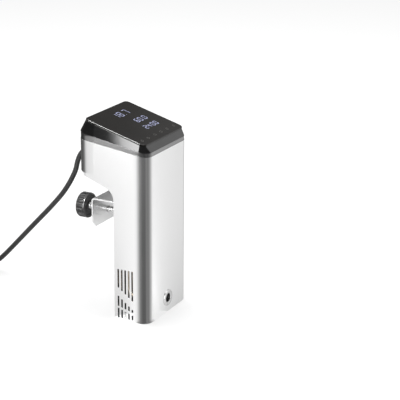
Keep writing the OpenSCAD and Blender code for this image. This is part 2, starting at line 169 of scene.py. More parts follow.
# %%
def cord_curve(name, route, diameter):
    """One open spline with smooth handles, as thick as the lead."""
    curve = bpy.data.curves.new(name, "CURVE")
    curve.dimensions = "3D"
    curve.bevel_depth = diameter / 2
    curve.bevel_resolution = 6
    curve.use_fill_caps = True
    curve.resolution_u = 6
    spline = curve.splines.new("BEZIER")
    spline.bezier_points.add(len(route) - 1)
    for knot, place in zip(spline.bezier_points, route):
        knot.co = place
        knot.handle_left_type = knot.handle_right_type = "AUTO"
    return placed(name, curve)


cord = cord_curve("mains_lead", CORD_ROUTE, CORD_D)

# %% [markdown]
# ## Helpers for nodes
# A shader or a shape tree is arithmetic on sockets. This class wraps one socket, so that
# `1 - mask * 0.2` adds the Math nodes by itself. Every other node comes from `Graph.node`, which
# takes the node's type, its settings and the values or links of its sockets.


# %%
class Socket:
    """The output of a node, which can be calculated with."""

    def __init__(self, graph, out):
        self.graph = graph
        self.out = out

    def maths(self, operation, *others):
        return self.graph.node("ShaderNodeMath", {"operation": operation}, dict(enumerate((self, *others))))

    def __add__(self, other):
        return self.maths("ADD", other)

    def __sub__(self, other):
        return self.maths("SUBTRACT", other)

    def __rsub__(self, other):
        return self.graph.node("ShaderNodeMath", {"operation": "SUBTRACT"}, {0: other, 1: self})

    def __mul__(self, other):
        return self.maths("MULTIPLY", other)

    def __truediv__(self, other):
        return self.maths("DIVIDE", other)

    def __gt__(self, other):
        return self.maths("GREATER_THAN", other)

    __radd__ = __add__
    __rmul__ = __mul__


class Graph:
    """A node tree with one method that adds any node."""

    def __init__(self, tree):
        self.tree = tree

    def node(self, kind, settings=None, sockets=None, out=0):
        made = self.tree.nodes.new(kind)
        for name, value in (settings or {}).items():
            if name == "stops":
                ramp = made.color_ramp
                while len(ramp.elements) < len(value):
                    ramp.elements.new(1)
                for element, (at, colour) in zip(ramp.elements, value):
                    element.position = at
                    element.color = (*colour, 1)
            else:
                setattr(made, name, value)
        for key, value in (sockets or {}).items():
            for one in value if isinstance(value, list) else [value]:
                if isinstance(one, Socket):
                    self.tree.links.new(one.out, made.inputs[key])
                else:
                    made.inputs[key].default_value = one
        return Socket(self, made.outputs[out])


print("node helpers ready")

# %% [markdown]
# ## Helpers for finishes
# Every finish starts from the place of a point on the part, `Object` coordinates, so a pattern has
# its real scale in metres. The Principled shader takes the constants on its own sockets, and what
# varies over the surface goes only to its colour, roughness, normal and the like.

# %%
MIX_A, MIX_B, MIX_COLOUR = 6, 7, 2


class Finish(Graph):
    """A material whose one shader is Principled."""

    def __init__(self, name, **constants):
        self.material = bpy.data.materials.new(name)
        self.material.use_nodes = True
        super().__init__(self.material.node_tree)
        self.shader = self.tree.nodes["Principled BSDF"]
        for socket, value in constants.items():
            self.shader.inputs[socket.replace("_", " ")].default_value = value
        self.place = self.node("ShaderNodeTexCoord", out="Object")

    def stretched(self, x, y, z):
        """The place with each direction scaled, in repeats per metre."""
        return self.node("ShaderNodeMapping", sockets={"Vector": self.place, "Scale": (x, y, z)})

    def noise(self, vector, scale=1.0, detail=3.0, roughness=0.5):
        sockets = {"Vector": vector, "Scale": scale, "Detail": detail, "Roughness": roughness}
        return self.node("ShaderNodeTexNoise", sockets=sockets)

    def ramp(self, factor, stops):
        return self.node("ShaderNodeValToRGB", {"stops": stops}, {"Fac": factor})

    def mix(self, factor, first, second):
        sockets = {0: factor, MIX_A: first, MIX_B: second}
        return self.node("ShaderNodeMix", {"data_type": "RGBA"}, sockets, out=MIX_COLOUR)

    def bump(self, height, distance):
        return self.node("ShaderNodeBump", sockets={"Height": height, "Distance": distance})

    def drive(self, **sockets):
        for name, value in sockets.items():
            self.tree.links.new(value.out, self.shader.inputs[name.replace("_", " ")])


def grey(value, warmth=0.0):
    """A grey colour, a little warm above 0 and a little cool below it."""
    return (value * (1 + warmth), value, value * (1 - warmth))


def rgba(colour):
    return (*colour, 1)


FINISH = {}
print("finish helpers ready")

# %% [markdown]
# ## Brushed steel
# The casing is stainless sheet, brushed from top to bottom. Brushing leaves fine upright grooves, so
# the noise is squeezed sideways and drawn out upwards, and it drives roughness, colour and bump
# together. The anisotropic socket spreads reflections across the grooves.


# %%
def brushed_steel(name, tone, fine, along, roughness, spread, groove, stain=0.04):
    """Steel with upright grooves: fine and along are repeats per metre across and along them."""
    smooth, rough = roughness
    f = Finish(name, Metallic=1.0, Anisotropic=spread)
    grain = f.noise(f.stretched(fine, fine, along), detail=4.0, roughness=0.65)
    broad = f.noise(f.place, scale=14.0, detail=3.0)
    shade = grain * 0.6 + broad * 0.4
    f.drive(Base_Color=f.mix(shade, rgba(grey(tone * (1 - stain))), rgba(grey(min(tone * (1 + stain), 1)))))
    f.drive(Roughness=smooth + (rough - smooth) * (grain * 0.7 + broad * 0.3))
    f.drive(Normal=f.bump(grain, groove))
    return f.material


FINISH["steel_sheet"] = brushed_steel("steel_sheet", 0.95, 2600, 9, (0.11, 0.2), 0.3, 0.006 * MM)
# The trim is the same brushed stainless as the sheet, with its tone turned far down: painted shade for the
# darker surroundings its narrow band reflects.
FINISH["steel_trim"] = brushed_steel("steel_trim", 0.32, 1900, 60, (0.12, 0.2), 0.2, 0.006 * MM)
FINISH["bracket_steel"] = brushed_steel("bracket_steel", 0.78, 2200, 14, (0.28, 0.4), 0.3, 0.01 * MM)
print("steel", [m.name for m in FINISH.values()])

# %% [markdown]
# ## Gloss black and smoked glass
# The bezel is moulded in gloss black and the panel over it is smoked glass. Both are nearly a
# mirror for whatever stands round them, so what matters is how clean the reflection is: a trace of
# waviness in the moulding, and a few wiped streaks on the glass.


# %%
def gloss_black(name):
    f = Finish(name, Specular_IOR_Level=0.55, Coat_Roughness=0.03, IOR=1.5)
    waves = f.noise(f.place, scale=70.0, detail=2.0)
    dust = f.ramp(f.noise(f.place, scale=900.0, detail=3.0), [(0.55, grey(0.0)), (0.8, grey(1.0))])
    f.drive(Base_Color=f.mix(dust, rgba(grey(0.006)), rgba(grey(0.02))))
    f.drive(Roughness=0.03 + 0.04 * waves, Coat_Weight=0.3 + 0.2 * waves)
    f.drive(Normal=f.bump(waves, 0.02 * MM))
    return f.material


def smoked_glass(name):
    f = Finish(name, Specular_IOR_Level=0.3, IOR=1.5, Coat_Roughness=0.02)
    wiped = f.noise(f.stretched(60, 12, 60), detail=4.0, roughness=0.6)
    tint = f.noise(f.place, scale=30.0)
    f.drive(Base_Color=f.mix(tint, rgba(grey(0.009, 0.1)), rgba(grey(0.014, 0.1))))
    f.drive(Roughness=0.05 + 0.1 * wiped, Coat_Weight=0.1 + 0.1 * tint)
    return f.material


FINISH["bezel_gloss"] = gloss_black("bezel_gloss")
FINISH["dark_glass"] = smoked_glass("dark_glass")
print("gloss finishes")

# %% [markdown]
# ## Turned and plated metal
# Screws, the nozzle and the knob are turned, so their tool marks run round one axis. The distance
# from that axis drives a fine wave, which stands for the marks. Tubes of the heater are drawn and
# then stained by heat, from straw to a dull blue brown.


# %%
def turned_metal(name, tone, roughness, axis="Y", mark=0.004 * MM, warmth=0.0, tint=None):
    """Metal with tool marks round an axis, and a little staining in the marks."""
    f = Finish(name, Metallic=1.0, Anisotropic=0.2)
    squeeze = {"Y": (700, 5200, 700), "Z": (700, 700, 5200)}[axis]
    marks = f.noise(f.stretched(*squeeze), detail=3.0, roughness=0.6)
    patches = f.noise(f.place, scale=160.0, detail=4.0)
    light, dark = grey(tone, warmth), grey(tone * 0.82, warmth)
    colour = f.mix(patches * 0.5 + marks * 0.5, rgba(tint or dark), rgba(light))
    f.drive(Base_Color=colour, Roughness=roughness + 0.14 * patches + 0.06 * marks)
    f.drive(Normal=f.bump(marks, mark))
    return f.material


def heated_tube(name):
    f = Finish(name, Metallic=1.0)
    cloud = f.noise(f.place, scale=90.0, detail=4.0)
    straw, brown, blue = (0.62, 0.58, 0.52), (0.55, 0.46, 0.36), (0.36, 0.32, 0.34)
    colour = f.ramp(cloud, [(0.3, straw), (0.55, brown), (0.75, blue)])
    f.drive(Base_Color=colour, Roughness=0.28 + 0.22 * cloud)
    f.drive(Normal=f.bump(f.noise(f.place, scale=1500.0), 0.01 * MM))
    return f.material


FINISH["bright_fasteners"] = turned_metal("bright_fasteners", 0.72, 0.16)
FINISH["knob_metal"] = turned_metal("knob_metal", 0.075, 0.22, mark=0.01 * MM)
FINISH["motor_steel"] = turned_metal("motor_steel", 0.42, 0.34, axis="Z", tint=(0.36, 0.35, 0.31))
FINISH["plug_metal"] = turned_metal("plug_metal", 0.74, 0.2, warmth=0.12)
FINISH["copper"] = turned_metal("copper", 0.62, 0.32, axis="Z", mark=0.06 * MM, tint=(0.5, 0.2, 0.08))
FINISH["heater_sheath"] = heated_tube("heater_sheath")
print("metals", len(FINISH))

# %% [markdown]
# ## Mouldings, rubber and the lead's jacket
# Moulded plastic copies a fine spark-eroded grain from its mould, rubber is duller and softer, and a
# lead's jacket is extruded, which leaves very faint lines and a light bloom of dust.


# %%
def moulded(name, colour, lighter, roughness, grain_scale, grain_depth, specular=0.4):
    """Plastic or rubber with a moulded grain: colour in the hollows and lighter on the tops."""
    f = Finish(name, Specular_IOR_Level=specular)
    grain = f.noise(f.place, scale=grain_scale, detail=5.0, roughness=0.6)
    worn = f.noise(f.place, scale=grain_scale / 40, detail=2.0)
    f.drive(Base_Color=f.mix(grain * 0.7 + worn * 0.3, rgba(colour), rgba(lighter)))
    f.drive(Roughness=roughness + 0.16 * (worn - 0.5))
    f.drive(Normal=f.bump(grain, grain_depth))
    return f.material


# Colour in the hollows and on the tops, roughness, grains per metre, their depth and the gloss.
for name, *look in (
        ("black_plastic", grey(0.008), grey(0.02), 0.42, 2400, 0.05 * MM, 0.25),
        ("pale_plastic", grey(0.62, 0.03), grey(0.74, 0.03), 0.45, 1800, 0.03 * MM),
        ("rubber", grey(0.014), grey(0.034), 0.75, 1500, 0.08 * MM, 0.25),
        ("cord_jacket", grey(0.011), grey(0.026), 0.46, 1300, 0.06 * MM, 0.35)):
    FINISH[name] = moulded(name, *look)
print("mouldings", len(FINISH))

# %% [markdown]
# ## Circuit boards
# A board is green lacquer over copper tracks. Bricks laid in long courses give tracks and gaps, and
# the tracks show as a paler green that stands a little proud.


# %%
def lacquered_board(name):
    f = Finish(name, Specular_IOR_Level=0.5)
    laid = f.node("ShaderNodeMapping", sockets={"Vector": f.place, "Rotation": (0, math.pi / 2, 0.4)})
    tracks = f.node("ShaderNodeTexBrick", sockets={
        "Vector": laid, "Color1": rgba(grey(1.0)), "Color2": rgba(grey(0.9)), "Mortar": rgba(grey(0.0)),
        "Scale": 90.0, "Mortar Size": 0.03, "Brick Width": 0.9, "Row Height": 0.16})
    f.drive(Base_Color=f.mix(tracks, rgba((0.004, 0.06, 0.03)), rgba((0.012, 0.14, 0.06))))
    f.drive(Roughness=0.24 + 0.2 * f.noise(f.place, scale=300.0), Normal=f.bump(tracks, 0.03 * MM))
    return f.material


def printed_parts(name):
    """Cans, coils and fins on the boards: dark sleeves with pale bands."""
    f = Finish(name, Specular_IOR_Level=0.5)
    sockets = {"Vector": f.place, "Scale": 60.0, "Distortion": 0.5}
    bands = f.node("ShaderNodeTexWave", {"bands_direction": "Z"}, sockets)
    sleeve, shoulder, band = (0.03, 0.03, 0.035), (0.05, 0.05, 0.06), (0.22, 0.22, 0.24)
    colour = f.ramp(bands, [(0.0, sleeve), (0.8, shoulder), (0.95, band)])
    f.drive(Base_Color=colour, Roughness=0.3 + 0.2 * bands)
    return f.material


def touch_grid(name):
    f = Finish(name, Metallic=0.7)
    pad, gap = rgba((0.6, 0.42, 0.14)), rgba((0.28, 0.2, 0.08))
    grid = f.node("ShaderNodeTexChecker", sockets={
        "Vector": f.place, "Scale": 260.0, "Color1": pad, "Color2": gap})
    f.drive(Base_Color=grid, Roughness=0.3 + 0.2 * f.noise(f.place, scale=400.0))
    return f.material


FINISH["board"] = lacquered_board("board")
FINISH["board_parts"] = printed_parts("board_parts")
FINISH["touch_foil"] = touch_grid("touch_foil")
print("finishes", sorted(FINISH))

# %% [markdown]
# ## Light behind the glass
# The figures are lit from behind and look bluish white, with a brighter middle. The touch marks are
# printed, and the light behind them is off, so they are only a faint grey.


# %%
def lit(name, colour, strength):
    f = Finish(name, Emission_Strength=strength, Roughness=0.3)
    glow = f.noise(f.place, scale=700.0, detail=2.0)
    f.drive(Base_Color=f.mix(glow, rgba(grey(0.1)), rgba(grey(0.16))))
    f.drive(Emission_Color=f.mix(glow, rgba(tuple(c * 0.72 for c in colour)), rgba(colour)))
    return f.material


FINISH["lit_figure"] = lit("lit_figure", (0.56, 0.60, 0.98), 0.9)
FINISH["printed_mark"] = moulded("printed_mark", grey(0.06, 0.05), grey(0.09, 0.05), 0.3, 900, 0.005 * MM)
print("display finishes")

# %% [markdown]
# ## Helpers for pieces
# A finished piece is a plain mesh at the origin, whose points already lie where the part is. These
# helpers make one from points and faces, run its modifiers, give it its finish, hang it on the body
# it rides on and hide the imported parts it stands for.

# %%
SMOOTH_BELOW = math.radians(32)
FLAT_WITHIN = math.radians(0.6)
SAME_POINT = 1e-6


def piece_from(name, bm, turn_outwards=True):
    """A piece from a bmesh, with doubles merged and faces turned outwards."""
    bmesh.ops.remove_doubles(bm, verts=bm.verts, dist=SAME_POINT)
    if turn_outwards:
        bmesh.ops.recalc_face_normals(bm, faces=bm.faces)
    mesh = bpy.data.meshes.new(name)
    bm.to_mesh(mesh)
    bm.free()
    return placed(name, mesh)


def points_piece(name, points):
    """Loose points, for a tree that puts a shape on each."""
    mesh = bpy.data.meshes.new(name)
    mesh.from_pydata(points, [], [])
    return placed(name, mesh)


def settle(piece):
    """Runs the piece's modifiers once and keeps the plain mesh that comes out."""
    mesh = bpy.data.meshes.new_from_object(piece.evaluated_get(bpy.context.evaluated_depsgraph_get()))
    piece.modifiers.clear()
    piece.data = mesh
    mesh.name = piece.name
    return piece


def bevelled(piece, width, segments=2):
    """Rounds every edge that turns by more than 32 degrees."""
    bevel = piece.modifiers.new("edges", "BEVEL")
    bevel.width = width
    bevel.segments = segments
    bevel.limit_method = "ANGLE"
    bevel.angle_limit = SMOOTH_BELOW
    bevel.use_clamp_overlap = True
    return settle(piece)


def hand_over(piece, finish, body="housing", stands_for=()):
    """Gives the piece its finish and its place in the assembly, with wide faces shaded flat."""
    if piece.type == "MESH":
        piece.data.polygons.foreach_set("use_smooth", [True] * len(piece.data.polygons))
        piece.data.set_sharp_from_angle(angle=SMOOTH_BELOW)
        flatter = piece.modifiers.new("flatter", "WEIGHTED_NORMAL")
        flatter.keep_sharp = True
        flatter.weight = 100
        settle(piece)
    piece.data.materials.clear()
    piece.data.materials.append(FINISH[finish])
    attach(piece, body)
    if stands_for:
        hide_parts(*stands_for)
    faces = len(piece.data.polygons) if piece.type == "MESH" else 0
    print(f"{piece.name}: {finish} on {body}, {faces} faces")
    return piece


def soft_edged_copy(node, name, width, segments=2):
    """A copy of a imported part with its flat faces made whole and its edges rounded."""
    bm = bmesh.new()
    bm.from_mesh(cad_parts[node].data)
    bmesh.ops.remove_doubles(bm, verts=bm.verts, dist=SAME_POINT)
    bmesh.ops.dissolve_limit(bm, angle_limit=FLAT_WITHIN, verts=bm.verts, edges=bm.edges)
    return bevelled(piece_from(name, bm, turn_outwards=False), width, segments)


hand_over(cord, "cord_jacket", stands_for=("cord_lead", "cord_coil", "cord_tail"))

# %% [markdown]
# ## Outlines
# Seen from above, the casing is a rectangle with wide front corners and smaller back ones. One
# function walks round it with the same number of points for any inset, so two outlines can be
# joined point to point into a wall.

# %%
FRONT_R = 14.5 * MM
BACK_R = 15 * MM
ARC_STEPS = 14


def round_rect(x0, x1, y0, y1, radii):
    """Points anticlockwise from the front right corner, with a radius for each corner in that order."""
    corners = [(x1, y0, -1, 1, -90), (x1, y1, -1, -1, 0), (x0, y1, 1, -1, 90), (x0, y0, 1, 1, 180)]
    points = []
    for (x, y, sx, sy, start), r in zip(corners, radii):
        for k in range(ARC_STEPS + 1):
            a = math.radians(start + 90 * k / ARC_STEPS)
            points.append((x + sx * r + r * math.cos(a), y + sy * r + r * math.sin(a)))
    return points


def plan(inset):
    """The casing's outline from above, drawn in from its outer faces."""
    half, front, rear = SIDE - inset, FRONT_R - inset, BACK_R - inset
    return round_rect(-half, half, FRONT + inset, HEAD_BACK - inset, (front, rear, rear, front))


def loft(name, rings, closed=True):
    """Joins rings of points, each to the next, and the last to the first where the section closes."""
    bm = bmesh.new()
    rows = [[bm.verts.new(p) for p in ring] for ring in rings]
    count = len(rings[0])
    pairs = list(zip(rows, rows[1:])) + ([(rows[-1], rows[0])] if closed else [])
    for lower, upper in pairs:
        for k in range(count):
            bm.faces.new((lower[k], lower[(k + 1) % count], upper[(k + 1) % count], upper[k]))
    if not closed:
        bm.faces.new(rows[0])
        bm.faces.new(rows[-1])
    return piece_from(name, bm)


print("outline points", len(plan(0)))

# %% [markdown]
# ## The slots, as a shape tree
# Water enters through slots that are punched in both sides of the wet chamber. Their lengths follow
# a rule: each column is a little shorter than the last, which gives the block of slots its slanting
# edge. A Geometry Nodes tree lays out one row of slots from that rule and cuts it through the sheet,
# and the casing gets three such modifiers, one for each row. A modifier's inputs are set by each
# socket's identifier.


# %%
QUARTER = math.pi / 2


class ShapeTree(Graph):
    """A Geometry Nodes tree with named inputs, which takes a piece's mesh and gives another."""

    def __init__(self, name, inputs):
        tree = bpy.data.node_groups.new(name, "GeometryNodeTree")
        super().__init__(tree)
        tree.interface.new_socket("Geometry", in_out="INPUT", socket_type="NodeSocketGeometry")
        tree.interface.new_socket("Geometry", in_out="OUTPUT", socket_type="NodeSocketGeometry")
        for label, kind in inputs.items():
            tree.interface.new_socket(label, in_out="INPUT", socket_type="NodeSocket" + kind)
        source = tree.nodes.new("NodeGroupInput")
        self.inputs = {s.name: Socket(self, s) for s in source.outputs if s.name}
        self.mesh = self.inputs["Geometry"]

    def vector(self, x=0.0, y=0.0, z=0.0):
        return self.node("ShaderNodeCombineXYZ", {}, {"X": x, "Y": y, "Z": z})

    def shape(self, kind, settings=None, **sockets):
        """A Geometry Nodes node, with underscores for the spaces in its sockets' names."""
        named = {label.replace("_", " "): value for label, value in sockets.items()}
        return self.node("GeometryNode" + kind, settings, named)

    def rectangle(self, width, height):
        return self.shape("CurvePrimitiveQuadrilateral", {"mode": "RECTANGLE"}, Width=width, Height=height)

    def circle(self, radius, points):
        return self.shape("CurvePrimitiveCircle", {"mode": "RADIUS"}, Resolution=points, Radius=radius)

    def cylinder(self, radius, depth, sides):
        return self.shape("MeshCylinder", {"fill_type": "NGON"}, Vertices=sides, Radius=radius, Depth=depth)

    def moved(self, shape, **how):
        return self.shape("Transform", Geometry=shape, **how)

    def minus(self, shape, cutters):
        settings = {"operation": "DIFFERENCE", "solver": "EXACT"}
        return self.shape("MeshBoolean", settings, Mesh_1=shape, Mesh_2=cutters)

    def slabs(self, outlines, radius, arc_points, thickness):
        """Rounds the corners of flat outlines, fills them and draws them up into closed slabs."""
        curves = self.shape("RealizeInstances", Geometry=outlines)
        rounded = self.shape(
            "FilletCurve", {"mode": "POLY"}, Curve=curves, Count=arc_points, Radius=radius,
            Limit_Radius=True)
        flat = self.shape("FillCurve", {"mode": "NGONS"}, Curve=rounded)
        raised = self.shape(
            "ExtrudeMesh", {"mode": "FACES"}, Mesh=flat, Offset=self.vector(z=1.0), Offset_Scale=thickness)
        under = self.shape("FlipFaces", Mesh=flat)
        closed = self.shape("JoinGeometry", Geometry=[under, raised])
        return self.shape("MergeByDistance", Geometry=closed, Distance=SAME_POINT)

    def end(self, shape, material):
        """Realises the shape, gives it its material and ends the tree."""
        real = self.shape("RealizeInstances", Geometry=shape)
        done = self.shape("SetMaterial", Geometry=real, Material=material)
        out = self.tree.nodes.new("NodeGroupOutput")
        self.tree.links.new(done.out, out.inputs[0])
        return self

    def on(self, piece, **values):
        """Adds the tree to a piece as a modifier, with its inputs set."""
        modifier = piece.modifiers.new(self.tree.name, "NODES")
        modifier.node_group = self.tree
        sockets = {s.name: s.identifier for s in self.tree.interface.items_tree if s.in_out == "INPUT"}
        for label, value in values.items():
            modifier[sockets[label.replace("_", " ")]] = value
        return piece


def slot_row_tree(material):
    labels = ["First", "Pitch", "Width", "Lower", "Lower Step", "Upper", "Upper Step", "Corner", "Reach"]
    t = ShapeTree("slot row", {"Count": "Int", **{label: "Float" for label in labels}})
    i = t.inputs
    column = t.shape("InputIndex")
    lower = i["Lower"] + i["Lower Step"] * column
    upper = i["Upper"] + i["Upper Step"] * column
    line = t.shape(
        "MeshLine", {"mode": "OFFSET"}, Count=i["Count"], Start_Location=t.vector(i["First"]),
        Offset=t.vector(i["Pitch"] * -1))
    middles = t.shape("SetPosition", Geometry=line, Offset=t.vector(y=(lower + upper) / 2))
    outlines = t.shape(
        "InstanceOnPoints", Points=middles, Instance=t.rectangle(i["Width"], 1.0),
        Scale=t.vector(1.0, upper - lower, 1.0))
    cutters = t.slabs(outlines, i["Corner"], 4, i["Reach"])
    centred = t.moved(cutters, Translation=t.vector(z=i["Reach"] * -0.5))
    stood = t.moved(centred, Rotation=(QUARTER, 0, QUARTER))
    return t.end(t.minus(t.mesh, stood), material)


slot_row = slot_row_tree(FINISH["steel_sheet"])
print("slot tree", len(slot_row.tree.nodes), "nodes")

# %% [markdown]
# ## The folded casing
# The front, both sides and the back of the head are one folded sheet. It is made as a tube of that
# outline and then trimmed by the side view: a sloping top, and an underside that sweeps out from the
# column to the head through one wide round and one small one. The trimming tool is that side view
# drawn across the whole width.

# %%
WALL = 1.2 * MM
STEEL_SLOPE = math.tan(math.radians(7.5))
TRIM_SLOPE = math.tan(math.radians(9.5))
STEEL_FRONT = 262.5 * MM
TRIM_FRONT = 268.5 * MM
UNDER_SLOPE = math.radians(20.3)
COLUMN_BACK = 28.7 * MM
THROAT = (48.7 * MM, 189.1 * MM, 20 * MM)
HEEL = (HEAD_BACK - 9 * MM, 232.05 * MM, 9 * MM)


def steel_top(y):
    return STEEL_FRONT + (y - FRONT) * STEEL_SLOPE


def trim_top(y):
    return TRIM_FRONT + (y - FRONT) * TRIM_SLOPE


def arc(centre_y, centre_z, r, first, last, steps):
    """Points of an arc in the side view, angles in degrees from the +Y direction."""
    angles = [math.radians(first + (last - first) * k / steps) for k in range(steps + 1)]
    return [(centre_y + r * math.cos(a), centre_z + r * math.sin(a)) for a in angles]


def side_view():
    """The casing's outline from the side, anticlockwise from the foot of the front."""
    slope = math.degrees(UNDER_SLOPE)
    back = HEAD_BACK
    return ([(FRONT, 0), (COLUMN_BACK, 0)]
            + arc(*THROAT, 180, 90 + slope, 20)
            + arc(*HEEL, -90 + slope, 0, 16)
            + [(back, steel_top(back)), (FRONT, steel_top(FRONT))])


def side_prism(name, outline, half_width):
    return loft(name, [[(x, y, z) for y, z in outline] for x in (-half_width, half_width)], closed=False)


def trimmed(piece, tool, operation):
    """Cuts a piece with a tool, which is thrown away."""
    boolean = piece.modifiers.new("trim", "BOOLEAN")
    boolean.operation = operation
    boolean.solver = "EXACT"
    boolean.object = tool
    settle(piece)
    bpy.data.objects.remove(tool)
    return piece


def drill(name, y0, y1, z, radius, steps=48):
    """A plain round tool along Y, in the middle of the width."""
    start, end = Vector((0, y0, z)), Vector((0, y1, z))
    bm = bmesh.new()
    axis = end - start
    place = Matrix.Translation((start + end) / 2) @ axis.to_track_quat("Z", "Y").to_matrix().to_4x4()
    bmesh.ops.create_cone(
        bm, cap_ends=True, segments=steps, radius1=radius, radius2=radius, depth=axis.length, matrix=place)
    return piece_from(name, bm)


TUBE_TOP = 320 * MM
shell = loft("casing", [[(x, y, z) for x, y in plan(inset)] for inset, z in (
    (0, -MM), (0, TUBE_TOP), (WALL, TUBE_TOP), (WALL, -MM))])
trimmed(shell, side_prism("side_tool", side_view(), SIDE + MM), "INTERSECT")
nozzle_low, nozzle_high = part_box("outlet_nozzle")
OUTLET_Z = (nozzle_low.z + nozzle_high.z) / 2
for tool in (drill("outlet_tool", FRONT - MM, FRONT + 3 * MM, OUTLET_Z, 10 * MM),
             drill("gland_tool", HEAD_BACK - 3 * MM, HEAD_BACK + MM, GLAND_Z, 8 * MM)):
    trimmed(shell, tool, "DIFFERENCE")
print("casing before slots", len(shell.data.polygons), "faces")

# %%
SLOTS = {"Count": 5, "First": 21.7 * MM, "Pitch": 6 * MM, "Width": 2.8 * MM, "Corner": 0.7 * MM,
         "Reach": 2 * SIDE + 4 * MM}
# Lower end and its change from column to column, then the same for the upper end, in mm.
ENDS = ("Lower", "Lower Step", "Upper", "Upper Step")
for ends in ((53, -4.5, 83, 0), (23, -1.7, 39.4, -4.6), (4, 0, 19.8, -2.05)):
    slot_row.on(shell, **SLOTS, **{label: end * MM for label, end in zip(ENDS, ends)})
settle(shell)
bevelled(shell, 0.3 * MM)
hand_over(shell, "steel_sheet", stands_for=("front_shell",))

# %% [markdown]
# ## Panels and the trim ring
# The column's back and the sloping underside are a second bent sheet between the sides. It, the
# trim ring and the base plate already have the right shape, and only lack the small round that
# every cut edge of sheet has, so each is a copy with soft edges.

# %%
for node, name, finish, width, segments in (
        ("rear_panel", "rear_sheet", "steel_sheet", 0.25 * MM, 2),
        ("trim_ring", "trim_band", "steel_trim", 0.35 * MM, 3),
        ("base_plate", "base_sheet", "steel_sheet", 0.25 * MM, 2)):
    hand_over(soft_edged_copy(node, name, width, segments), finish, stands_for=(node,))

# %% [markdown]
# ## The bezel
# The bezel is a moulding that narrows from the casing's outline to the glass. Its wall is ruled
# between the two outlines, so the sides are flat chamfers that grow taller towards the back, and
# the corners blend from a wide round to a small one. It is lofted through a few rings, with a
# small round where it meets the trim ring and a lip under the glass.

# %%
GLASS_SLOPE = math.radians(15.5)
GLASS_W, GLASS_L, GLASS_T = 122 * MM, 105.4 * MM, 2.6 * MM
GLASS_R = 8 * MM
GLASS_FRONT = Vector((0, -23.4 * MM, 281.3 * MM))
TO_GLASS = Matrix.Translation(GLASS_FRONT) @ Matrix.Rotation(GLASS_SLOPE, 4, "X")


def on_glass(x, y, z):
    """A point x across, y up the slope and z out of the glass."""
    return TO_GLASS @ Vector((x, y, z))


def glass_ring(inset, z):
    half = GLASS_W / 2 - inset
    radius = max(GLASS_R - inset, 0.4 * MM)
    return [on_glass(x, y, z) for x, y in round_rect(-half, half, inset, GLASS_L - inset, [radius] * 4)]


def foot_ring(inset, lift):
    return [Vector((x, y, trim_top(y) + lift)) for x, y in plan(inset)]


LIP = 5 * MM
# Insets and depths under the glass, in mm: the round at the top, the seat and the lip's inner edge.
UNDER_GLASS = [(0, 0.5), (0.12, 0.14), (0.45, 0.01), (LIP / MM, 0.01), (LIP / MM, 2.2)]
bezel = loft("bezel_frame", [
    foot_ring(0.4 * MM, 0), foot_ring(0.1 * MM, 0.12 * MM), foot_ring(0, 0.45 * MM),
    *(glass_ring(inset * MM, -GLASS_T - depth * MM) for inset, depth in UNDER_GLASS),
    foot_ring(LIP + 0.4 * MM, 0),
])
hand_over(bezel, "bezel_gloss", stands_for=("bezel",))

# %% [markdown]
# ## The glass
# One pane covers the whole top. Its edge is ground to a small round, which is what catches the light
# as a bright line along the side.

# %%
EDGE, EDGE_STEPS = 1.4 * MM, 4
turns = [QUARTER * k / EDGE_STEPS for k in range(EDGE_STEPS + 1)]
pane = loft("glass_pane", [
    glass_ring(0.3 * MM, -GLASS_T), glass_ring(0, -GLASS_T + 0.3 * MM),
    *(glass_ring(EDGE * (1 - math.cos(a)), -EDGE * (1 - math.sin(a))) for a in turns),
], closed=False)
hand_over(pane, "dark_glass", stands_for=("display_glass",))

# %% [markdown]
# ## Figures on the display
# A lit figure is seven bars, some of them on. The bars are one shape repeated on points, which is
# what Geometry Nodes does best: the script lists where a bar goes, which way it lies and how long it
# is, and the tree puts a pointed bar on every point.

# %%
# Each bar's place across and up the figure, as shares of its size, and whether it stands upright.
BARS = {"a": (0.5, 1, 0), "b": (1, 0.75, 1), "c": (1, 0.25, 1), "d": (0.5, 0, 0),
        "e": (0, 0.25, 1), "f": (0, 0.75, 1), "g": (0.5, 0.5, 0)}
FIGURES = {"0": "abcdef", "1": "bc", "2": "abged", "4": "fgbc", "6": "acdefg", "7": "abc", "8": "abcdefg"}
FIGURE_W, FIGURE_H, FIGURE_GAP = 7.0 * MM, 11.5 * MM, 4.6 * MM
BAR_T, BAR_SHARE = 1.0 * MM, 0.86


def bars_of(text, left, bottom, size):
    """(place, turn, length) of each lit bar of a row of figures; a point or colon is a short bar."""
    found = []
    x = left
    for sign in text:
        if sign in ".:":
            heights = (0,) if sign == "." else (0.3, 0.7)
            found += [((x, bottom + h * FIGURE_H * size), 0, BAR_T * 0.9) for h in heights]
            x += (BAR_T + FIGURE_GAP * 0.6) * size
            continue
        for bar in FIGURES[sign]:
            u, v, upright = BARS[bar]
            length = (FIGURE_H / 2 if upright else FIGURE_W) * BAR_SHARE * size
            place = (x + u * FIGURE_W * size, bottom + v * FIGURE_H * size)
            found.append((place, upright * QUARTER, length))
        x += (FIGURE_W + FIGURE_GAP) * size
    return found


def bar_tree(material):
    """Puts a flat bar on every point, turned and stretched as the point's attributes say."""
    t = ShapeTree("lit bars", {"Thickness": "Float", "Width": "Float"})
    turn, length = (
        t.shape("InputNamedAttribute", {"data_type": "FLOAT"}, Name=label) for label in ("turn", "length"))
    bars = t.shape(
        "InstanceOnPoints", Points=t.mesh, Instance=t.rectangle(1.0, t.inputs["Width"]),
        Rotation=t.vector(z=turn), Scale=t.vector(length, 1.0, 1.0))
    return t.end(t.slabs(bars, t.inputs["Width"] * 0.45, 3, t.inputs["Thickness"]), material)


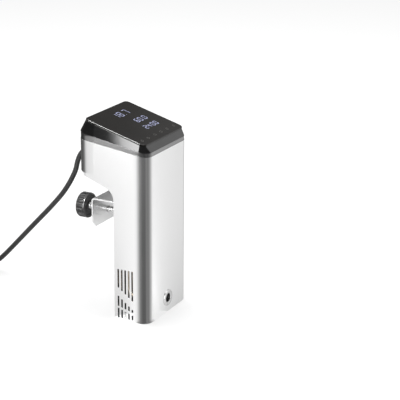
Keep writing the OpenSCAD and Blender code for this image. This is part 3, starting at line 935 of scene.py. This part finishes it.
def piece_on_glass(name, tree, points, lift, **values):
    """Points with a turn and a length each, run through a tree and laid on the glass."""
    piece = points_piece(name, [(x, y, 0) for (x, y), _, _ in points])
    for k, label in ((1, "turn"), (2, "length")):
        piece.data.attributes.new(label, "FLOAT", "POINT").data.foreach_set("value", [p[k] for p in points])
    settle(tree.on(piece, **values))
    piece.data.transform(TO_GLASS @ Matrix.Translation((0, 0, lift)))
    return piece


def up_the_glass(y):
    """Distance up the glass of a place y behind the middle of the column."""
    return (y - GLASS_FRONT.y) / math.cos(GLASS_SLOPE)


lit_bars = bar_tree(FINISH["lit_figure"])
# Each row's figures, its left end, its place behind the column's middle in mm, and its size.
ROWS = [("18.7", -12.5, 55, 1.08), ("60.0", 6, 29, 0.82), ("24:00", -2, 9, 0.77)]
bars = []
for text, left, y, size in ROWS:
    bars += bars_of(text, left * MM, up_the_glass(y * MM) - FIGURE_H * size / 2, size)
figures = piece_on_glass("display_figures", lit_bars, bars, 0.01 * MM, Thickness=0.05 * MM, Width=BAR_T)
hand_over(figures, "lit_figure")

# %% [markdown]
# ## Touch marks
# Six touch places lie in a row near the front edge. Each mark is a thin ring, and the tree repeats
# one ring on the row's points.


# %%
def ring_tree(material):
    t = ShapeTree("touch rings", {"Radius": "Float", "Line": "Float"})
    ring = t.shape(
        "CurveToMesh", Curve=t.circle(t.inputs["Radius"], 32), Profile_Curve=t.circle(t.inputs["Line"], 8))
    flat = t.moved(ring, Scale=(1.0, 1.0, 0.1))
    return t.end(t.shape("InstanceOnPoints", Points=t.mesh, Instance=flat), material)


TOUCH_X = (-48, -30, -10, 8, 27, 47.5)
marks = [((x * MM, up_the_glass(-12.4 * MM)), 0, 0) for x in TOUCH_X]
touch_ring = ring_tree(FINISH["printed_mark"])
rings = piece_on_glass("touch_marks", touch_ring, marks, 0.02 * MM, Radius=2.1 * MM, Line=0.42 * MM)
hand_over(rings, "printed_mark")

# %% [markdown]
# ## Turned pieces
# A knob, a nozzle or a plug is a profile swept round an axis. The helper takes the profile as pairs of
# distance along the axis and radius, in millimetres, and joins one ring to the next. A profile that
# closes on itself leaves a bore in the middle.


# %%
def turned(name, x, z, profile, closed=False, steps=48):
    """Sweeps (place along Y, radius) pairs in mm round the line through x, z."""
    rings = []
    for y, r in profile:
        angles = [2 * math.pi * k / steps for k in range(steps)]
        rings.append([Vector((x + r * MM * math.cos(a), y * MM, z + r * MM * math.sin(a))) for a in angles])
    return loft(name, rings, closed)


def on_screw(name, profile, closed=False, steps=48):
    """The same, round the clamp screw."""
    return turned(name, 0, SCREW_Z, profile, closed, steps)


def along_y(node):
    """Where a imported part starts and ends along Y, in mm."""
    low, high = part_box(node)
    return low.y / MM, high.y / MM


def joined(name, *pieces):
    """Makes one piece of several."""
    bm = bmesh.new()
    for piece in pieces:
        bm.from_mesh(piece.data)
        bpy.data.objects.remove(piece)
    return piece_from(name, bm)


# Depth behind the casing's front, and radius.
NOZZLE = [(5, 7), (5, 9.7), (4.7, 10), (0, 10), (0, 12.8), (-0.5, 13),
          (-1.1, 12.7), (-1.5, 12), (-1.5, 8.4), (-1.2, 7.5), (-0.7, 7)]
nozzle = turned("outlet_ring", 0, OUTLET_Z, [(FRONT / MM + y, r) for y, r in NOZZLE], closed=True)
hand_over(nozzle, "bright_fasteners", stands_for=("outlet_nozzle",))

# %% [markdown]
# ## The rim clamp
# A bent bracket reaches over the bath's rim. The knob drives a screw through its outer leg, and the
# screw pushes a rubber-faced plate against the bath's wall. The bracket is a soft-edged copy, because
# folded sheet is already the right shape, and the plate, its rubber and the boss are turned.

# %%
bracket = soft_edged_copy("bracket", "rim_bracket", 0.3 * MM, 3)
hand_over(bracket, "bracket_steel", stands_for=("bracket",))

y0, y1 = along_y("pressure_plate")
plate = on_screw("pressure_disc", [
    (y1, 3.1), (y1, 6.4), (y1 - 0.5, 7), (y0 + 4, 7), (y0 + 3, 8), (y0 + 3, 12.4), (y0 + 2.4, 13),
    (y0 + 0.4, 13), (y0, 12.7), (y0, 0.4), (y1 - 5.5, 0.4), (y1 - 5.5, 3.1)], closed=True)
hand_over(plate, "bright_fasteners", "pressure_pad", stands_for=("pressure_plate",))
y0, y1 = along_y("pressure_pad")
GROOVE_DEPTH, GROOVE_STEP = 0.7, 1.1
grooves = [(y0 + GROOVE_DEPTH * (k % 4 > 1), 1.2 + GROOVE_STEP * k) for k in range(10)]
pad = on_screw("pressure_rubber", [*grooves, (y0 + 0.1, 12.5), (y0 + 0.6, 13), (y1, 13)])
hand_over(pad, "rubber", "pressure_pad", stands_for=("pressure_pad",))
y0, y1 = along_y("clamp_nut")
boss = on_screw("screw_boss", [
    (y0, 5.1), (y0, 5.8), (y0 + 0.2, 6), (y0 + 2, 6), (y0 + 2, 8.6), (y0 + 2.4, 9),
    (y1 - 1, 9), (y1, 8), (y1, 5.8), (y1 - 0.7, 5.1)], closed=True)
hand_over(boss, "bright_fasteners", stands_for=("clamp_nut",))

# %%
jaw_low, jaw_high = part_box("jaw_pad")
TEETH, TOOTH_H = 10, 0.9 * MM
teeth = [(jaw_low.y, jaw_low.z), (jaw_low.y, jaw_high.z)]
for k in range(TEETH, 0, -1):
    top = jaw_low.z + (jaw_high.z - jaw_low.z) * k / TEETH
    tip, root = jaw_high.y, jaw_high.y - TOOTH_H
    teeth += [(y, top - down * MM) for y, down in ((root, 0.3), (tip, 1.0), (tip, 2.0), (root, 2.7))]
jaw = bevelled(side_prism("jaw_rubber", teeth[::-1], jaw_high.x), 0.25 * MM)
hand_over(jaw, "rubber", stands_for=("jaw_pad",))

# %% [markdown]
# ## The clamp screw's thread
# A thread is one section drawn along a spiral. The tree makes the spiral from the pitch and the number
# of turns, draws a small ridge along it, and joins the ridge to the screw's core, which is the piece's
# own mesh.


# %%
def thread_tree(material):
    labels = ("Turns", "Radius", "Length", "Ridge")
    t = ShapeTree("thread", {**{label: "Float" for label in labels}, "Start": "Vector"})
    i = t.inputs
    path = t.shape(
        "CurveSpiral", Resolution=24, Rotations=i["Turns"], Start_Radius=i["Radius"],
        End_Radius=i["Radius"], Height=i["Length"])
    ridge = t.shape("CurveToMesh", Curve=path, Profile_Curve=t.circle(i["Ridge"], 6), Fill_Caps=True)
    laid = t.moved(ridge, Rotation=(-QUARTER, 0, 0), Translation=i["Start"])
    return t.end(t.shape("JoinGeometry", Geometry=[t.mesh, laid]), material)


PITCH = 2 * MM
core_end = screw_high.y - 1 * MM
tip, shoulder = screw_low.y / MM, 61.3
core = on_screw("clamp_spindle", [
    (tip, 2.4), (tip + 0.6, 3), (shoulder, 3), (shoulder, 3.6), (shoulder + 0.8, 4.3),
    (core_end / MM, 4.3), (screw_high.y / MM, 4.0)])
thread_start = (shoulder + 1.5) * MM
thread_length = core_end - thread_start
thread_tree(FINISH["bright_fasteners"]).on(
    core, Turns=thread_length / PITCH, Radius=4.35 * MM, Length=thread_length, Ridge=0.62 * MM,
    Start=(0.0, thread_start, SCREW_Z))
settle(core)
hand_over(core, "bright_fasteners", "clamp_screw", stands_for=("clamp_screw",))

# %% [markdown]
# ## The knob
# The knob is a turned metal cup with a black face set into it. Sixteen hollows round its rim give a
# wet hand something to hold. The tree places one cutter on each point of a circle and takes them all
# away from the cup.


# %%
def flute_tree(material):
    t = ShapeTree("flutes", {
        "Count": "Int", "Ring": "Float", "Cutter": "Float", "Depth": "Float", "Middle": "Vector"})
    i = t.inputs
    ring = t.shape("MeshCircle", {"fill_type": "NONE"}, Vertices=i["Count"], Radius=i["Ring"])
    cutter = t.cylinder(i["Cutter"], i["Depth"], 20)
    cutters = t.shape("InstanceOnPoints", Points=ring, Instance=cutter)
    laid = t.moved(cutters, Rotation=(QUARTER, 0, 0), Translation=i["Middle"])
    return t.end(t.minus(t.mesh, t.shape("RealizeInstances", Geometry=laid)), material)


FLUTES = 16
k0, k1 = along_y("knob")
grip_r = (knob_high.x - knob_low.x) / 2 / MM
cup = on_screw("knob_cup", [
    (k0 + 3, 16.5), (k0 + 0.5, 16.5), (k0, 17.1), (k0, 18.2), (k0 + 0.7, 19.4), (k0 + 2.3, grip_r),
    (k1 - 2.5, grip_r), (k1 - 0.8, grip_r - 0.8), (k1, grip_r - 3), (k1, 9.6), (k1 - 0.5, 9), (k1 - 2, 9),
    (k1 - 2, 0.5), (k0 + 12, 0.5), (k0 + 12, 5), (k0 + 3, 5)], closed=True, steps=96)
flutes_middle = (k0 + k1) / 2 + 2.5
flute_tree(FINISH["knob_metal"]).on(
    cup, Count=FLUTES, Ring=(grip_r + 1.2) * MM, Cutter=2.6 * MM, Depth=(k1 - k0) * MM,
    Middle=(0.0, flutes_middle * MM, SCREW_Z))
bevelled(settle(cup), 0.35 * MM)
hand_over(cup, "knob_metal", "clamp_screw", stands_for=("knob",))
FACE = [(3, 16.5), (1.0, 16.5), (0.6, 16.1), (0.6, 14.6), (1.4, 13.8),
        (1.4, 8.2), (0.6, 7.4), (0.6, 5.4), (1.0, 5), (3, 5)]
face = on_screw("knob_face", [(k0 + y, r) for y, r in FACE], closed=True)
hand_over(face, "black_plastic", "clamp_screw", stands_for=("knob_insert",))
BUTTON = [(-2, 9), (-0.3, 9), (0.1, 8.6), (0.35, 6), (0.5, 2), (0.5, 0.3)]
cap = on_screw("knob_button", [(k1 + y, r) for y, r in BUTTON])
hand_over(cap, "black_plastic", "clamp_screw", stands_for=("knob_cap",))

# %% [markdown]
# ## Screws
# Eight screws hold the base plate and the bracket. One tree makes a screw, a head with a hexagon
# socket on a shank, and sets it on every point it is given, so each group is only a list of places.


# %%
def screw_tree(material):
    labels = ("Head", "Height", "Shank", "Reach", "Key")
    t = ShapeTree("screws", {**{label: "Float" for label in labels}, "Turn": "Vector"})
    i = t.inputs
    key = t.moved(t.cylinder(i["Key"], i["Height"], 6), Translation=t.vector(z=i["Height"] * 0.45))
    head = t.minus(t.cylinder(i["Head"], i["Height"], 32), key)
    up = t.moved(head, Translation=t.vector(z=i["Height"] * 0.5))
    shank = t.cylinder(i["Shank"], i["Reach"], 24)
    down = t.moved(shank, Translation=t.vector(z=i["Reach"] * -0.5))
    screw = t.moved(t.shape("JoinGeometry", Geometry=[up, down]), Rotation=i["Turn"])
    return t.end(t.shape("InstanceOnPoints", Points=t.mesh, Instance=screw), material)


screws = screw_tree(FINISH["bright_fasteners"])


def screw_set(name, node, places, turn, **sizes):
    """A screw on each place, with its sizes in mm."""
    piece = points_piece(name, places)
    settle(screws.on(piece, Turn=turn, **{label: value * MM for label, value in sizes.items()}))
    return hand_over(bevelled(piece, 0.2 * MM), "bright_fasteners", stands_for=(node,))


foot_places = [(x * MM, y * MM, 2.5 * MM) for x in (-48, 48) for y in (-15, 18)]
screw_set("foot_screws", "base_screws", foot_places, (math.pi, 0.0, 0.0),
          Head=2.5, Height=2.1, Shank=1.6, Reach=6.5, Key=1.2)
leg_places = [(x * MM, COLUMN_BACK + 2 * MM, z * MM) for x in (-30, 30) for z in (130, 166)]
screw_set("leg_screws", "bracket_screws", leg_places, (-QUARTER, 0.0, 0.0),
          Head=3.5, Height=1.9, Shank=2, Reach=8, Key=1.5)

# %% [markdown]
# ## Where the lead leaves
# A flanged gland is clamped in the back of the head, and a ribbed rubber sleeve keeps the lead from
# being bent too tightly there. The sleeve's radius follows a rule along its length, a plain taper with
# a rib every few millimetres, so a tree sets the radius of a line from that rule and skins it.


# %%
SLEEVE_POINTS = 97


def sleeve_tree(material):
    sizes = {label: "Float" for label in ("Thin", "Thick", "Groove", "Ribs")}
    t = ShapeTree("ribbed sleeve", {"Start": "Vector", "End": "Vector", **sizes})
    i = t.inputs
    line = t.shape("CurvePrimitiveLine", {"mode": "POINTS"}, Start=i["Start"], End=i["End"])
    points = t.shape("ResampleCurve", Curve=line, Count=SLEEVE_POINTS)
    along = t.shape("SplineParameter")
    taper = i["Thin"] + (i["Thick"] - i["Thin"]) * along
    in_groove = (along * i["Ribs"] * (2 * math.pi)).maths("SINE") > 0.2
    radius = taper - i["Groove"] * in_groove
    skin = t.shape(
        "CurveToMesh", Curve=points, Profile_Curve=t.circle(1.0, 36), Scale=radius, Fill_Caps=True)
    return t.end(skin, material)


EXIT = CORD_ROUTE[0]
SLEEVE_FALL, SLEEVE_LENGTH = math.radians(35), 29.4 * MM
sleeve_end = EXIT + SLEEVE_LENGTH * Vector((0, -math.cos(SLEEVE_FALL), math.sin(SLEEVE_FALL)))
sleeve = placed("lead_sleeve", bpy.data.meshes.new("lead_sleeve"))
sleeve_tree(FINISH["rubber"]).on(
    sleeve, Start=tuple(EXIT), End=tuple(sleeve_end), Thin=5.2 * MM, Thick=7.9 * MM,
    Groove=0.7 * MM, Ribs=6.0)
settle(sleeve)
hand_over(sleeve, "rubber", stands_for=("strain_relief",))

g0, g1 = HEAD_BACK / MM, gland_high.y / MM
gland = turned("lead_gland", 0, GLAND_Z, [
    (g0 - 6, 8), (g0, 8), (g0, 10.8), (g0 + 0.3, 11), (g1 - 0.9, 11), (g1 - 0.2, 10.3), (g1, 9.4),
    (g1, 0.4), (g0 - 6, 0.4)], closed=True)
hand_over(gland, "black_plastic", stands_for=("cord_gland",))

# %% [markdown]
# ## The tie and the plug
# A strap holds the coil's turns together. It is a flat band bent round their section. The plug is a
# round moulding with a waisted grip, a ribbed neck and two round pins with rounded tips.

# %%
tie_low, tie_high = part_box("cord_tie")
STRAP_T, STRAP_TOP, STRAP_R = 1.1 * MM, 17.2 * MM, 4.4 * MM


def strap_ring(inset, x):
    low, high, radius = tie_low.y + inset, tie_high.y - inset, STRAP_R - inset
    return [Vector((x, y, z)) for y, z in round_rect(low, high, inset, STRAP_TOP - inset, [radius] * 4)]


x0, x1 = tie_low.x, tie_high.x
strap = loft("tie_strap", [
    strap_ring(STRAP_T, x0), strap_ring(0, x0), strap_ring(0, x1), strap_ring(STRAP_T, x1)])
bevelled(strap, 0.3 * MM)
hand_over(strap, "rubber", stands_for=("cord_tie",))

plug_x, plug_z = (plug_low.x + plug_high.x) / 2, (plug_low.z + plug_high.z) / 2
p0, p1 = along_y("plug_body")
NECK_RIBS, RIB = 6, ((0, 0), (1.1, 0), (1.25, 0.8), (1.85, 0.8))
neck = [(p1 - 2 * k - along, 5.2 + 0.45 * k - inwards) for k in range(NECK_RIBS) for along, inwards in RIB]
# Distance from the plug's flat end, and radius: the waisted grip, the rim and the face with the pins.
BODY = [(37, 8.2), (33, 10.5), (28, 14.2), (24, 15.4), (20, 15), (17.5, 15.6), (16, 17.4), (15, 18.6),
        (13.5, 19), (1, 19), (0.3, 18.7), (0, 18), (0, 16.6), (0.8, 16), (0.8, 0.5)]
moulding = turned("plug_moulding", plug_x, plug_z, neck + [(p0 + y, r) for y, r in BODY], steps=64)
hand_over(moulding, "black_plastic", stands_for=("plug_body",))
q0, q1 = along_y("plug_pins")
PIN_APART = 19 * MM
PIN = [(q1 + 1, 2.4), (q0 + 1.6, 2.4), (q0 + 0.8, 2.25), (q0 + 0.25, 1.7), (q0, 0.9)]
pins = joined("plug_blades", *(
    turned("pin", plug_x + side * PIN_APART, plug_z, PIN, steps=24) for side in (-0.5, 0.5)))
hand_over(pins, "plug_metal", stands_for=("plug_pins",))

# %% [markdown]
# ## The room
# A pale seamless floor, a soft pale sky and one big soft light overhead. Polished metal shows what
# stands round it, so the room also has cards, as a product studio does. A dark card curled close
# round a corner gives that corner its soft dark upright band and leaves the flat sides bright, and a
# long bright card on the left gives the black bezel its white streak. The cards are only there for
# reflections: the camera doesn't see them and they cast no shade.


# %%
def plain(name, colour):
    """Paint with no gloss and the same colour all over."""
    return Finish(name, Base_Color=rgba(colour), Roughness=0.6, Specular_IOR_Level=0.0).material


def stage_mesh(name, points, faces, material):
    mesh = bpy.data.meshes.new(name)
    mesh.from_pydata(points, [], faces)
    mesh.materials.append(material)
    thing = placed(name, mesh)
    return thing


FLOOR_HALF = 12.0
floor_corners = [(x * FLOOR_HALF, y * FLOOR_HALF, 0) for x, y in ((-1, -1), (1, -1), (1, 1), (-1, 1))]
stage_mesh("floor", floor_corners, [(0, 1, 2, 3)], plain("floor_paint", grey(0.9)))


def reflector_paint():
    """Black, with the glow that is written on the card's own points."""
    f = Finish("reflector_paint", Base_Color=rgba(grey(0.0)), Roughness=0.6, Specular_IOR_Level=0.0)
    f.shader.inputs["Emission Strength"].default_value = 1.0
    f.drive(Emission_Color=f.node("ShaderNodeAttribute", {"attribute_name": "glow"}))
    return f.material


REFLECTOR = reflector_paint()
CARD_STEP = 3


def reflector(name, centre, profile, stops):
    """A card swept round an upright line and seen only in reflections.

    The profile is (distance, height) pairs, and stops are (azimuth in degrees, glow) pairs. An
    azimuth of 0 is to the right, 90 is behind, 180 is to the left and 270 is in front.
    """
    around = []
    for (a0, g0), (a1, g1) in zip(stops, stops[1:]):
        steps = max(1, round((a1 - a0) / CARD_STEP))
        around += [(a0 + (a1 - a0) * k / steps, g0 + (g1 - g0) * k / steps) for k in range(steps)]
    around.append(stops[-1])
    points, glows = [], []
    for r, z in profile:
        for azimuth, glow in around:
            a = math.radians(azimuth)
            points.append((centre.x + r * math.cos(a), centre.y + r * math.sin(a), z))
            glows += [glow, glow, glow, 1.0]
    n = len(around)
    faces = [(k, k + 1, k + 1 + n, k + n) for row in range(len(profile) - 1)
             for k in range(row * n, row * n + n - 1)]
    card = stage_mesh(name, points, faces, REFLECTOR)
    card.data.attributes.new("glow", "FLOAT_COLOR", "POINT").data.foreach_set("color", glows)
    card.visible_camera = False
    card.visible_diffuse = False
    card.visible_shadow = False
    card.visible_transmission = False
    return card


front_corner = Vector((-SIDE + FRONT_R, FRONT + FRONT_R, 0))
back_corner = Vector((-SIDE + BACK_R, HEAD_BACK - BACK_R, 0))
column_middle = Vector((0, 0.03, 0))
FLOOR_CARD_Z = 1.2 * MM
# Round the front corner: bright on the left, then a dark strip with a faint paler line in it, and
# bright again in front.
reflector("card_front_corner", front_corner, [(0.0147, 0.001), (0.025, 0.001), (0.025, 0.268)], [
    (148, 1.0), (158, 0.88), (167, 0.38), (180, 0.19), (200, 0.1), (222, 0.1), (235, 0.2), (250, 0.17),
    (268, 0.33), (300, 0.8)])
reflector("card_bezel_front", front_corner, [(0.025, 0.268), (0.025, 0.298)], [(170, 0.1), (285, 0.1)])
# Round the head's back corner: dark behind, bright on the left.
reflector("card_back_corner", back_corner, [(0.026, 0.222), (0.026, 0.28)], [
    (66, 0.18), (110, 0.08), (140, 0.1), (155, 0.25), (170, 0.7), (200, 0.85)])
reflector("card_bezel_back", back_corner, [(0.026, 0.28), (0.026, 0.305)], [(66, 0.1), (200, 0.1)])
# A wall of light on the left, which the bezel's side shows as a streak with a hard end.
reflector("card_left", front_corner, [(0.9, 0.08), (0.9, 0.75)], [
    (140, 0.5), (147, 0.5), (149, 0.25), (151, 0.35), (152, 2.5), (153, 8), (155, 11), (157, 9), (177, 9),
    (215, 3.5), (236, 1.3), (250, 0.2), (278, 0.2), (300, 0.8)])
reflector("card_upper_left", front_corner, [(0.9, 1.25), (0.9, 1.8)], [(148, 110), (168, 110)])
# A wall on the right, for the tone of the glass, and the floor's own fall of light to both sides.
reflector("card_far_side", column_middle, [(1.3, 0.35), (1.3, 1.6)], [
    (-22, 0.42), (8, 0.42), (20, 0.18), (60, 0.18)])
reflector("card_floor_left", front_corner, [(0.05, FLOOR_CARD_Z), (1.0, FLOOR_CARD_Z)], [
    (110, 0.7), (130, 0.7), (141, 0.78), (150, 1.0), (155.5, 1.0)])
reflector("card_floor_right", front_corner, [(0.05, FLOOR_CARD_Z), (1.3, FLOOR_CARD_Z)], [
    (-31.5, 0.83), (-22, 0.7), (0, 0.52), (22, 0.5)])


# %%
def softbox(name, place, aim, width, watts):
    """A square soft light that looks from its place towards the aim."""
    light = bpy.data.lights.new(name, "AREA")
    light.shape = "SQUARE"
    light.size = width
    light.energy = watts
    turn = (aim - place).to_track_quat("-Z", "Y").to_matrix().to_4x4()
    placed(name, light).matrix_world = Matrix.Translation(place) @ turn


softbox("overhead", Vector((0.2, 0.2, 2.2)), Vector((0, 0.03, 0.18)), 2.4, 25)

world = bpy.data.worlds.new("soft_room")
scene.world = world
world.use_nodes = True
sky = world.node_tree.nodes["Background"]
sky.inputs["Color"].default_value = rgba(grey(1.0))
sky.inputs["Strength"].default_value = 0.95
scene.view_settings.view_transform = "Standard"

# %% [markdown]
# ## Parts behind the casing
# The motor, pump, heater and boards are hidden, or only glimpsed through the slots. They keep their
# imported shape, and each gets the finish that its own part would have.

# %%
KEPT = {
    "bright_fasteners": (
        "temperature_probe", "level_pins", "rotor_shaft", "lower_bearing", "upper_bearing"),
    "heater_sheath": ("heater_element",),
    "black_plastic": (
        "bulkhead", "pump_housing", "pump_cover", "cooling_fan", "gland_nut", "display_module"),
    "pale_plastic": ("impeller",),
    "rubber": ("bulkhead_seal", "shaft_seal", "glass_gasket"),
    "motor_steel": ("motor_mount", "motor_can", "motor_rotor"),
    "copper": ("motor_stator",),
    "board": ("power_board", "control_board"),
    "board_parts": ("board_parts",),
    "touch_foil": ("touch_strip",),
}
for finish, nodes in KEPT.items():
    for node in nodes:
        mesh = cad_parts[node].data
        mesh.materials.clear()
        mesh.materials.append(FINISH[finish])
print("carried-over parts", sum(len(nodes) for nodes in KEPT.values()))
